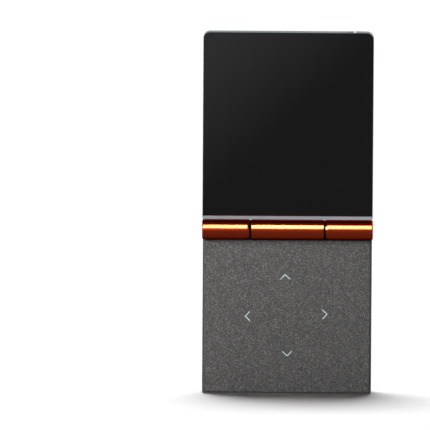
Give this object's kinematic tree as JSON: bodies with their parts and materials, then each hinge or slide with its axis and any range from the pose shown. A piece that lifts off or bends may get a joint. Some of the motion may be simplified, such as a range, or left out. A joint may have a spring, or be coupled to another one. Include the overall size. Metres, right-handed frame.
{
  "type": "folding digital audio player",
  "caption": "Pocket music player that folds at a copper-coloured barrel hinge, with a glossy screen half over a dark speckled touch-pad half.",
  "frame": {"origin": "middle of the bounding box in X and Y, on the plane that the player stands on", "axes": "+X to the right as the player is looked at from the front, +Y from the screen to the back, +Z from the foot to the top edge of the open player"},
  "size_m": [0.05, 0.0127, 0.1064],
  "materials": {
    "frame_metal": "satin",
    "case_metal": "matte",
    "pad_finish": "matte",
    "arrow_inlay": "satin",
    "copper_anodised": "gloss",
    "cover_glass": "gloss",
    "adhesive": "matte",
    "display_stack": "gloss",
    "light_guide": "satin",
    "pressed_steel": "satin",
    "hardened_steel": "satin",
    "bearing_brass": "satin",
    "contact_gold": "gloss",
    "circuit_board": "satin",
    "chip_black": "matte",
    "ribbon_amber": "satin",
    "cell_pouch": "satin",
    "lead_cover": "satin",
    "foam": "matte",
    "magnet_plate": "gloss",
    "button_metal": "satin",
    "plunger_plastic": "matte",
    "socket_plastic": "satin"
  },
  "bodies": {
    "base": {"arrow_marks": "arrow_inlay", "audio_dac": "chip_black", "barrel_left": "copper_anodised", "barrel_right": "copper_anodised", "base_back_cover": "case_metal", "base_case": "case_metal", "base_flex": "ribbon_amber", "base_screws": "hardened_steel", "battery": "cell_pouch", "battery_board": "circuit_board", "battery_leads": "lead_cover", "battery_pad": "foam", "clock_crystals": "chip_black", "flex_connector": "chip_black", "friction_clips": "hardened_steel", "hall_sensor": "chip_black", "headphone_amp": "chip_black", "hinge_washers": "socket_plastic", "main_board": "circuit_board", "memory_chip": "chip_black", "pad_adhesive": "adhesive", "pad_plate": "pad_finish", "pivot_bush": "bearing_brass", "power_chip": "chip_black", "processor": "chip_black", "shield_can": "pressed_steel", "side_switches": "chip_black", "touch_sensor": "display_stack", "usb_shell": "pressed_steel", "usb_tongue": "socket_plastic"},
    "lid": {"lid_frame": "frame_metal", "lid_back_cover": "frame_metal", "lid_screws": "hardened_steel", "screen_glass": "cover_glass", "glass_adhesive": "adhesive", "lcd_panel": "display_stack", "backlight": "light_guide", "lcd_tray": "pressed_steel", "display_board": "circuit_board", "display_driver": "chip_black", "display_flex": "ribbon_amber", "lid_flex": "ribbon_amber", "closing_magnet": "magnet_plate", "headphone_jack": "socket_plastic", "jack_contacts": "contact_gold", "jack_collar": "hardened_steel", "barrel_middle": "copper_anodised", "friction_shaft": "hardened_steel", "shaft_retainer": "hardened_steel", "pivot_pin": "hardened_steel"},
    "power_button": {"power_button": "button_metal", "power_plunger": "plunger_plastic"},
    "volume_up_button": {"volume_up_button": "button_metal", "volume_up_plunger": "plunger_plastic"},
    "volume_down_button": {"volume_down_button": "button_metal", "volume_down_plunger": "plunger_plastic"}
  },
  "joints": [
    {"name": "lid_fold", "type": "hinge", "parent": "base", "child": "lid", "pos_m": [0, -0.0035, 0.0484], "axis": [1, 0, 0], "range_deg": [0, 180]},
    {"name": "power_press", "type": "slide", "parent": "base", "child": "power_button", "axis": [-1, 0, 0], "range_m": [0, 0.0003], "stiffness_N_per_m": 1500, "springref_m": -0.0003},
    {"name": "volume_up_press", "type": "slide", "parent": "base", "child": "volume_up_button", "axis": [1, 0, 0], "range_m": [0, 0.0003], "stiffness_N_per_m": 1500, "springref_m": -0.0003},
    {"name": "volume_down_press", "type": "slide", "parent": "base", "child": "volume_down_button", "axis": [1, 0, 0], "range_m": [0, 0.0003], "stiffness_N_per_m": 1500, "springref_m": -0.0003}
  ]
}
